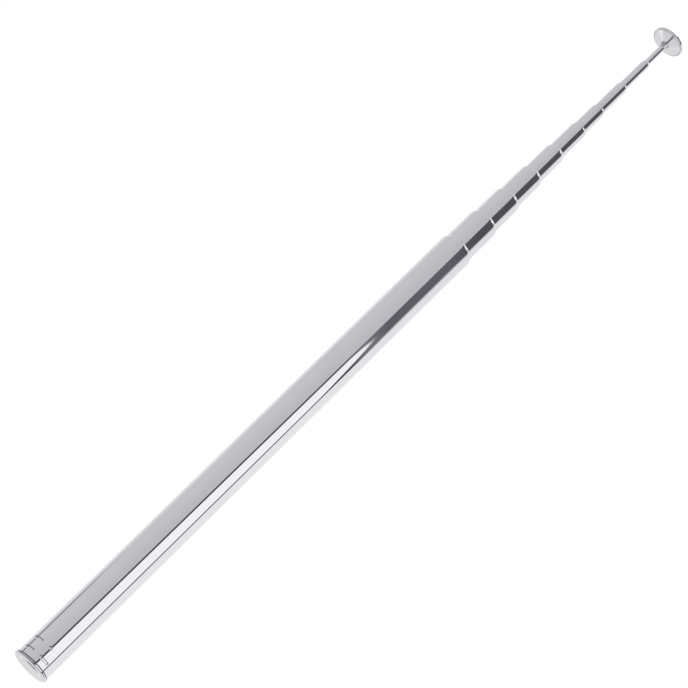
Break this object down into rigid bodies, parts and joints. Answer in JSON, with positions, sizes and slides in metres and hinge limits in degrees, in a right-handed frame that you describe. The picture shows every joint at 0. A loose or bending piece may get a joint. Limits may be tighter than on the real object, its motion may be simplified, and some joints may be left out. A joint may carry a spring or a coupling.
{
  "type": "telescopic antenna",
  "caption": "Closed telescopic antenna: chromed nested tubes that slide out of a base tube crimped on a plug, with a solid rod and a disc at the tip.",
  "frame": {"origin": "centre of the base plug's end, on the mast's axis", "axes": "+Z along the mast, from the base plug to the tip disc"},
  "size_m": [0.0104, 0.0104, 0.2585],
  "materials": {
    "chrome_plate": "polished",
    "turned_brass": "satin",
    "spring_bronze": "satin"
  },
  "bodies": {
    "base": {"base_tube": "chrome_plate", "base_plug": "chrome_plate"},
    "section_2": {"section_2_tube": "chrome_plate", "section_2_bush": "turned_brass", "section_2_spring": "spring_bronze"},
    "section_3": {"section_3_tube": "chrome_plate", "section_3_bush": "turned_brass", "section_3_spring": "spring_bronze"},
    "section_4": {"section_4_tube": "chrome_plate", "section_4_bush": "turned_brass", "section_4_spring": "spring_bronze"},
    "section_5": {"section_5_tube": "chrome_plate", "section_5_bush": "turned_brass", "section_5_spring": "spring_bronze"},
    "section_6": {"section_6_tube": "chrome_plate", "section_6_bush": "turned_brass", "section_6_spring": "spring_bronze"},
    "section_7": {"section_7_tube": "chrome_plate", "section_7_bush": "turned_brass", "section_7_spring": "spring_bronze"},
    "section_8": {"section_8_tube": "chrome_plate", "section_8_bush": "turned_brass", "section_8_spring": "spring_bronze"},
    "section_9": {"section_9_tube": "chrome_plate", "section_9_bush": "turned_brass", "section_9_spring": "spring_bronze"},
    "tip": {"tip_rod": "chrome_plate", "tip_spring": "spring_bronze", "tip_disc": "chrome_plate"}
  },
  "joints": [
    {"name": "section_2_slide", "type": "slide", "parent": "base", "child": "section_2", "axis": [0, 0, 1], "range_m": [0, 0.148]},
    {"name": "section_3_slide", "type": "slide", "parent": "section_2", "child": "section_3", "axis": [0, 0, 1], "range_m": [0, 0.1493]},
    {"name": "section_4_slide", "type": "slide", "parent": "section_3", "child": "section_4", "axis": [0, 0, 1], "range_m": [0, 0.1495]},
    {"name": "section_5_slide", "type": "slide", "parent": "section_4", "child": "section_5", "axis": [0, 0, 1], "range_m": [0, 0.1498]},
    {"name": "section_6_slide", "type": "slide", "parent": "section_5", "child": "section_6", "axis": [0, 0, 1], "range_m": [0, 0.15]},
    {"name": "section_7_slide", "type": "slide", "parent": "section_6", "child": "section_7", "axis": [0, 0, 1], "range_m": [0, 0.1502]},
    {"name": "section_8_slide", "type": "slide", "parent": "section_7", "child": "section_8", "axis": [0, 0, 1], "range_m": [0, 0.149]},
    {"name": "section_9_slide", "type": "slide", "parent": "section_8", "child": "section_9", "axis": [0, 0, 1], "range_m": [0, 0.1497]},
    {"name": "tip_slide", "type": "slide", "parent": "section_9", "child": "tip", "axis": [0, 0, 1], "range_m": [0, 0.1505]}
  ]
}
